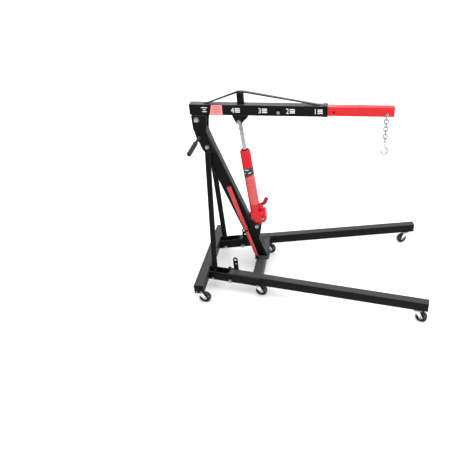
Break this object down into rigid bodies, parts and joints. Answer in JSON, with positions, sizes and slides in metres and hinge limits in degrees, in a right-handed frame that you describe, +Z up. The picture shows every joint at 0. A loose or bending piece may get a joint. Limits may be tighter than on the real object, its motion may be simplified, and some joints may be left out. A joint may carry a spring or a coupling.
{
  "type": "engine hoist crane",
  "caption": "Folding two-ton engine hoist crane: splayed folding legs on six casters, braced mast, ram-lifted boom with sliding red extension, chain and hook.",
  "frame": {"origin": "on the floor, at the middle of the object's box", "axes": "+X towards the leg tips and hook, +Y to the hoist's left, +Z up"},
  "size_m": [1.6998, 1.0766, 1.507],
  "materials": {
    "black_paint": "satin",
    "red_paint": "gloss",
    "zinc_steel": "zinc plated",
    "chrome_rod": "polished",
    "wheel_polymer": "matte",
    "grip_rubber": "matte"
  },
  "bodies": {
    "frame": {"rear_crossbar": "black_paint", "crossbar_end_bolts": "zinc_steel", "right_channel": "black_paint", "left_channel": "black_paint", "front_crossmember": "black_paint", "mast": "black_paint", "mast_cheeks": "black_paint", "right_brace": "black_paint", "left_brace": "black_paint", "brace_bolts": "zinc_steel", "push_bar": "black_paint", "push_grip": "grip_rubber", "ram_foot_plates": "black_paint", "leg_lugs": "black_paint", "leg_pivot_bolts": "zinc_steel", "base_caster_plates": "zinc_steel", "handle_holders": "black_paint"},
    "right_leg": {"right_leg": "black_paint", "right_front_caster_plate": "zinc_steel"},
    "left_leg": {"left_leg": "black_paint", "left_front_caster_plate": "zinc_steel"},
    "right_lock_pin": {"right_lock_pin": "zinc_steel"},
    "left_lock_pin": {"left_lock_pin": "zinc_steel"},
    "boom_bolt": {"boom_pivot_bolt": "zinc_steel"},
    "boom": {"boom_tube": "black_paint", "boom_pivot_lugs": "black_paint", "king_post": "black_paint", "rear_truss_strap": "black_paint", "front_truss_strap": "black_paint", "ram_head_plates": "black_paint"},
    "extension": {"extension": "red_paint", "chain_bolt": "zinc_steel"},
    "extension_lock_pin": {"extension_lock_pin": "zinc_steel"},
    "upper_chain": {"upper_chain": "zinc_steel"},
    "lower_chain": {"lower_chain": "zinc_steel"},
    "hook": {"grab_hook": "zinc_steel"},
    "ram_foot_bolt": {"ram_foot_bolt": "zinc_steel"},
    "ram_body": {"ram_base": "red_paint", "ram_cylinder": "red_paint", "ram_cap": "red_paint", "lever_pin": "zinc_steel"},
    "pump_lever": {"pump_lever": "red_paint"},
    "pump_plunger": {"pump_plunger": "chrome_rod"},
    "release_valve": {"release_valve": "black_paint"},
    "ram_head_bolt": {"ram_head_bolt": "zinc_steel"},
    "ram_rod": {"ram_rod": "chrome_rod"},
    "pump_handle": {"handle_lower": "red_paint", "handle_upper": "red_paint"},
    "right_rear_fork": {"right_rear_fork": "zinc_steel"},
    "right_rear_wheel": {"right_rear_wheel": "wheel_polymer"},
    "left_rear_fork": {"left_rear_fork": "zinc_steel"},
    "left_rear_wheel": {"left_rear_wheel": "wheel_polymer"},
    "right_mid_fork": {"right_mid_fork": "zinc_steel"},
    "right_mid_wheel": {"right_mid_wheel": "wheel_polymer"},
    "left_mid_fork": {"left_mid_fork": "zinc_steel"},
    "left_mid_wheel": {"left_mid_wheel": "wheel_polymer"},
    "right_front_fork": {"right_front_fork": "zinc_steel"},
    "right_front_wheel": {"right_front_wheel": "wheel_polymer"},
    "left_front_fork": {"left_front_fork": "zinc_steel"},
    "left_front_wheel": {"left_front_wheel": "wheel_polymer"}
  },
  "joints": [
    {"name": "boom_lower", "type": "hinge", "parent": "frame", "child": "boom_bolt", "pos_m": [-0.77691, 0, 1.3157], "axis": [0, -1, 0], "range_deg": [-30, 0]},
    {"name": "boom_raise", "type": "hinge", "parent": "boom_bolt", "child": "boom", "pos_m": [-0.77691, 0, 1.3157], "axis": [0, -1, 0], "range_deg": [0, 40]},
    {"name": "ram_foot_lower", "type": "hinge", "parent": "frame", "child": "ram_foot_bolt", "pos_m": [-0.41931, 0, 0.467], "axis": [0, -1, 0], "range_deg": [0, 4.2]},
    {"name": "ram_foot_raise", "type": "hinge", "parent": "ram_foot_bolt", "child": "ram_body", "pos_m": [-0.41931, 0, 0.467], "axis": [0, -1, 0], "range_deg": [0, 1.7]},
    {"name": "ram_head_lower", "type": "hinge", "parent": "boom", "child": "ram_head_bolt", "pos_m": [-0.49191, 0, 1.3], "axis": [0, -1, 0], "range_deg": [0, 34.2]},
    {"name": "ram_head_raise", "type": "hinge", "parent": "ram_head_bolt", "child": "ram_rod", "pos_m": [-0.49191, 0, 1.3], "axis": [0, -1, 0], "range_deg": [-38.4, 0]},
    {"name": "right_leg_fold", "type": "hinge", "parent": "frame", "child": "right_leg", "pos_m": [-0.60414, -0.23191, 0.116], "axis": [-0.1884, -0.9821, 0], "range_deg": [0, 93]},
    {"name": "left_leg_fold", "type": "hinge", "parent": "frame", "child": "left_leg", "pos_m": [-0.60414, 0.23191, 0.116], "axis": [0.1884, -0.9821, 0], "range_deg": [0, 93]},
    {"name": "right_lock_pin_push", "type": "slide", "parent": "frame", "child": "right_lock_pin", "axis": [0.1884, 0.9821, 0], "range_m": [0, 0.012]},
    {"name": "left_lock_pin_push", "type": "slide", "parent": "frame", "child": "left_lock_pin", "axis": [0.1884, -0.9821, 0], "range_m": [0, 0.012]},
    {"name": "extension_slide", "type": "slide", "parent": "boom", "child": "extension", "axis": [1, 0, 0], "range_m": [-0.368, 0.184]},
    {"name": "extension_pin_push", "type": "slide", "parent": "boom", "child": "extension_lock_pin", "axis": [0, 1, 0], "range_m": [0, 0.012]},
    {"name": "chain_swing", "type": "hinge", "parent": "extension", "child": "upper_chain", "pos_m": [0.50109, 0, 1.368], "axis": [0, -1, 0], "range_deg": [-12, 14]},
    {"name": "chain_sway", "type": "hinge", "parent": "upper_chain", "child": "lower_chain", "pos_m": [0.50109, 0, 1.2852], "axis": [1, 0, 0], "range_deg": [-35, 35]},
    {"name": "hook_swing", "type": "hinge", "parent": "lower_chain", "child": "hook", "pos_m": [0.50109, 0, 1.154], "axis": [0, -1, 0], "range_deg": [-40, 40]},
    {"name": "pump_lever_stroke", "type": "hinge", "parent": "ram_body", "child": "pump_lever", "pos_m": [-0.38807, 0, 0.63836], "axis": [0, -1, 0], "range_deg": [-24, 8]},
    {"name": "pump_plunger_stroke", "type": "slide", "parent": "ram_body", "child": "pump_plunger", "axis": [-0.0868, 0, 0.9962], "range_m": [-0.0055, 0.0018]},
    {"name": "release_valve_turn", "type": "hinge", "parent": "ram_body", "child": "release_valve", "pos_m": [-0.3696, -0.0324, 0.5416], "axis": [0, -1, 0], "range_deg": [0, 180]},
    {"name": "pump_handle_lift", "type": "slide", "parent": "frame", "child": "pump_handle", "axis": [-0.2639, 0, 0.9645], "range_m": [0, 0.25]},
    {"name": "right_rear_swivel", "type": "hinge", "parent": "frame", "child": "right_rear_fork", "pos_m": [-0.81541, -0.369, 0.095], "axis": [0, 0, 1], "continuous": true},
    {"name": "right_rear_roll", "type": "hinge", "parent": "right_rear_fork", "child": "right_rear_wheel", "pos_m": [-0.78641, -0.369, 0.043], "axis": [0, 1, 0], "continuous": true},
    {"name": "left_rear_swivel", "type": "hinge", "parent": "frame", "child": "left_rear_fork", "pos_m": [-0.81541, 0.369, 0.095], "axis": [0, 0, 1], "continuous": true},
    {"name": "left_rear_roll", "type": "hinge", "parent": "left_rear_fork", "child": "left_rear_wheel", "pos_m": [-0.78641, 0.369, 0.043], "axis": [0, 1, 0], "continuous": true},
    {"name": "right_mid_swivel", "type": "hinge", "parent": "frame", "child": "right_mid_fork", "pos_m": [-0.40477, -0.27016, 0.095], "axis": [0, 0, 1], "continuous": true},
    {"name": "right_mid_roll", "type": "hinge", "parent": "right_mid_fork", "child": "right_mid_wheel", "pos_m": [-0.37584, -0.27218, 0.043], "axis": [0.0698, 0.9976, 0], "continuous": true},
    {"name": "left_mid_swivel", "type": "hinge", "parent": "frame", "child": "left_mid_fork", "pos_m": [-0.40477, 0.27016, 0.095], "axis": [0, 0, 1], "continuous": true},
    {"name": "left_mid_roll", "type": "hinge", "parent": "left_mid_fork", "child": "left_mid_wheel", "pos_m": [-0.37581, 0.27168, 0.043], "axis": [-0.0523, 0.9986, 0], "continuous": true},
    {"name": "right_front_swivel", "type": "hinge", "parent": "right_leg", "child": "right_front_fork", "pos_m": [0.7757, -0.49663, 0.095], "axis": [0, 0, 1], "continuous": true},
    {"name": "right_front_roll", "type": "hinge", "parent": "right_front_fork", "child": "right_front_wheel", "pos_m": [0.80259, -0.50749, 0.043], "axis": [0.3746, 0.9272, 0], "continuous": true},
    {"name": "left_front_swivel", "type": "hinge", "parent": "left_leg", "child": "left_front_fork", "pos_m": [0.7757, 0.49663, 0.095], "axis": [0, 0, 1], "continuous": true},
    {"name": "left_front_roll", "type": "hinge", "parent": "left_front_fork", "child": "left_front_wheel", "pos_m": [0.74942, 0.48437, 0.043], "axis": [0.4226, -0.9063, 0], "continuous": true}
  ],
  "couplings": [
    {"joint": "ram_foot_lower", "follows": "boom_lower", "ratio": -0.13691},
    {"joint": "ram_foot_raise", "follows": "boom_raise", "ratio": 0.041061},
    {"joint": "ram_head_lower", "follows": "boom_lower", "ratio": -1.1369},
    {"joint": "ram_head_raise", "follows": "boom_raise", "ratio": -0.95894},
    {"joint": "pump_plunger_stroke", "follows": "pump_lever_stroke", "m_per_rad": 0.012}
  ]
}
